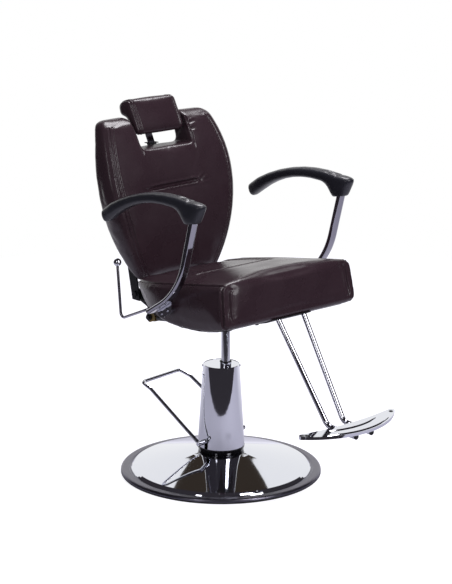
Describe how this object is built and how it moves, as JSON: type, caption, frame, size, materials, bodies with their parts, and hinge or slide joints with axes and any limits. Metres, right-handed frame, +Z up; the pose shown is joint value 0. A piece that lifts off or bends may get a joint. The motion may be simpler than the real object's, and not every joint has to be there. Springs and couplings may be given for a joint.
{
  "type": "hydraulic barber chair",
  "caption": "Reclining barber chair with a padded seat and back, sliding head pad, curved arms and footrest, on a foot-pumped hydraulic column with a round dished base.",
  "frame": {"origin": "on the floor under the middle of the base disc", "axes": "+Z up, the sitter faces -Y, the sitter's left is +X"},
  "size_m": [0.62, 0.9703, 1.096],
  "materials": {
    "mirror_chrome": "polished",
    "satin_chrome": "brushed rim, polished dish",
    "black_rubber": "matte",
    "frame_steel": "satin black",
    "inner_steel": "machined, oiled",
    "black_enamel": "gloss black",
    "upholstery": "coated cloth over foam, leather grain",
    "arm_skin": "self-skinned foam, fine grain",
    "yellow_zinc": "yellow zinc plate",
    "plywood": "raw",
    "black_plastic": "moulded",
    "gloss_black_plastic": "polished"
  },
  "bodies": {
    "base": {"base_dish": "satin_chrome", "base_edge_ring": "black_rubber", "base_plate": "frame_steel", "base_bolts": "frame_steel", "pump_housing": "inner_steel", "reservoir_tube": "inner_steel", "inner_cylinder": "inner_steel", "gland_nut": "mirror_chrome", "rod_wiper": "black_rubber", "pump_cover": "mirror_chrome", "cover_lid": "mirror_chrome", "cover_foot_ring": "black_enamel", "cover_screws": "mirror_chrome"},
    "pedal": {"pedal_bail": "mirror_chrome", "pedal_hubs": "mirror_chrome", "pedal_shaft": "inner_steel"},
    "plunger": {"pump_plunger": "inner_steel"},
    "lift": {"piston_rod": "mirror_chrome", "thrust_washer": "yellow_zinc"},
    "seat": {"seat_cushion": "upholstery", "seat_board": "plywood", "seat_side_rails": "plywood", "frame_rail_left": "frame_steel", "frame_rail_right": "frame_steel", "seat_socket": "frame_steel", "frame_bolts": "frame_steel", "strut_anchor": "frame_steel", "arm_tube_left": "mirror_chrome", "arm_tube_right": "mirror_chrome", "arm_pad_left": "arm_skin", "arm_pad_right": "arm_skin", "arm_mount_left": "satin_chrome", "arm_mount_right": "satin_chrome", "arm_bolts": "mirror_chrome", "arm_end_plugs": "black_plastic", "footrest_bracket": "frame_steel", "footrest_tube_left": "mirror_chrome", "footrest_tube_right": "mirror_chrome", "footplate": "mirror_chrome", "footplate_plugs": "black_plastic", "tube_caps": "black_plastic"},
    "lever": {"recline_lever": "mirror_chrome", "lever_knob": "gloss_black_plastic"},
    "strut_rod": {"strut_head": "frame_steel", "strut_rod": "mirror_chrome"},
    "strut_cylinder": {"strut_cylinder": "black_enamel", "strut_fork": "yellow_zinc"},
    "backrest": {"backrest_cushion": "upholstery", "backrest_board": "plywood", "back_bar_left": "black_enamel", "back_bar_right": "black_enamel", "recline_crank": "frame_steel", "recline_bolts": "mirror_chrome", "crank_bolt": "mirror_chrome", "headrest_guide": "black_plastic"},
    "headrest": {"headrest_post": "mirror_chrome", "headrest_pad": "upholstery"}
  },
  "joints": [
    {"name": "pedal_pump", "type": "hinge", "parent": "base", "child": "pedal", "pos_m": [0, 0, 0.108], "axis": [0.9903, 0.1392, 0], "range_deg": [-25, 0], "stiffness_Nm_per_rad": 6, "springref_deg": 34.38},
    {"name": "plunger_stroke", "type": "slide", "parent": "base", "child": "plunger", "axis": [0, 0, 1], "range_m": [-0.0135, 0]},
    {"name": "lift", "type": "slide", "parent": "base", "child": "lift", "axis": [0, 0, 1], "range_m": [-0.09, 0.05]},
    {"name": "swivel", "type": "hinge", "parent": "lift", "child": "seat", "pos_m": [0, -0.019, 0.486], "axis": [0, 0, 1], "continuous": true},
    {"name": "recline", "type": "hinge", "parent": "seat", "child": "backrest", "pos_m": [0, 0.214, 0.53], "axis": [1, 0, 0], "range_deg": [-40, 0]},
    {"name": "headrest_height", "type": "slide", "parent": "backrest", "child": "headrest", "axis": [0, 0.454, 0.891], "range_m": [0, 0.07]},
    {"name": "recline_release", "type": "hinge", "parent": "seat", "child": "lever", "pos_m": [-0.215, 0.085, 0.519], "axis": [1, 0, 0], "range_deg": [0, 8], "stiffness_Nm_per_rad": 3, "springref_deg": -14.32},
    {"name": "strut_swing", "type": "hinge", "parent": "seat", "child": "strut_rod", "pos_m": [-0.1, 0.02, 0.48], "axis": [1, 0, 0], "range_deg": [-2, 12]},
    {"name": "strut_travel", "type": "slide", "parent": "strut_rod", "child": "strut_cylinder", "axis": [0, 0.9897, -0.143], "range_m": [-0.05, 0.002]}
  ],
  "couplings": [
    {"joint": "plunger_stroke", "follows": "pedal_pump", "m_per_rad": 0.0295},
    {"joint": "strut_swing", "follows": "recline", "ratio": -0.21379},
    {"joint": "strut_travel", "follows": "recline", "m_per_rad": 0.067956}
  ]
}
